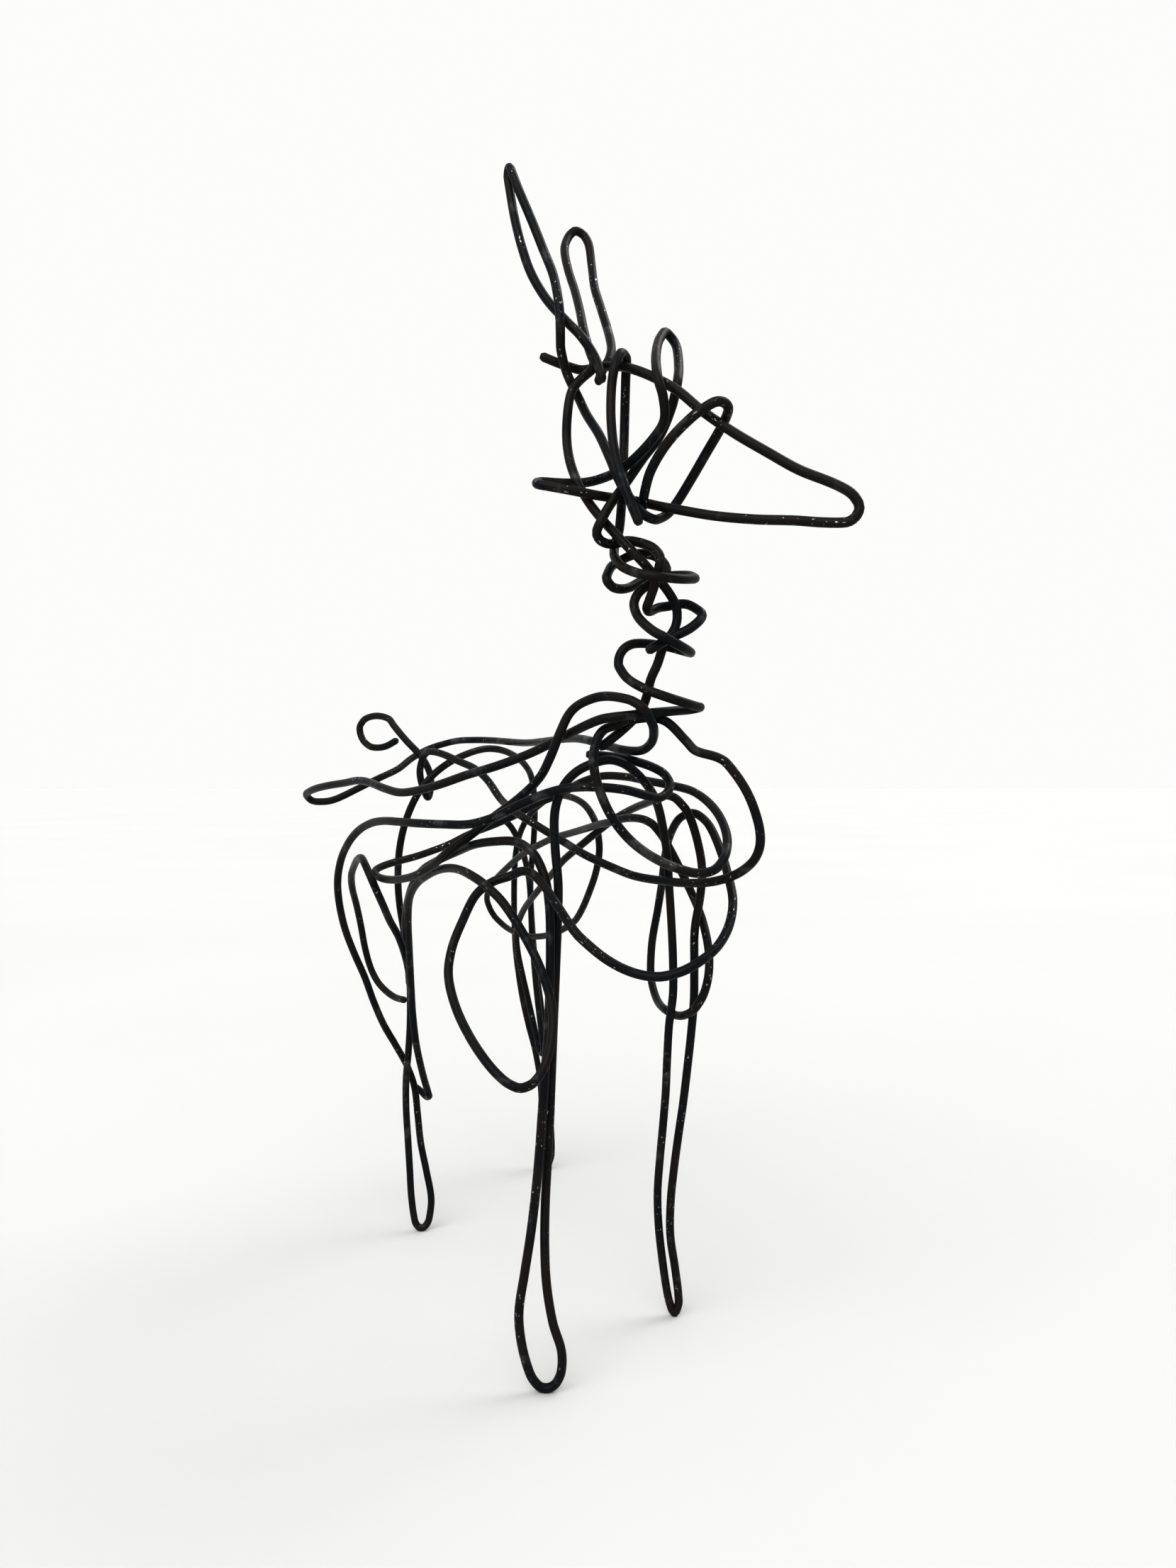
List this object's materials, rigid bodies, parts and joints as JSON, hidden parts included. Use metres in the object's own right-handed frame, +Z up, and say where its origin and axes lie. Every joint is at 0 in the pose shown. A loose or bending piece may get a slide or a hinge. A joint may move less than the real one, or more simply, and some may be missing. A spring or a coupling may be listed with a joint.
{
  "type": "wire_sculpture",
  "caption": "Free-standing doe bent from black annealed steel wire, an open cage of crossing strands with long ears, standing on hairpin feet.",
  "frame": {"origin": "on the ground, at the middle of the bounding box", "axes": "+Z up, +X to the side the head looks toward as the picture shows it, +Y away from the camera"},
  "size_m": [0.1068, 0.1422, 0.213],
  "materials": {
    "black_wire": "black annealed steel wire, satin, bluish grey where rubbed"
  },
  "bodies": {
    "root": {"profile_wire": "black_wire", "near_ear_wire": "black_wire", "nape_wire": "black_wire", "body_wire": "black_wire", "haunch_wire": "black_wire", "front_legs_wire": "black_wire", "belly_wire": "black_wire"}
  },
  "joints": []
}
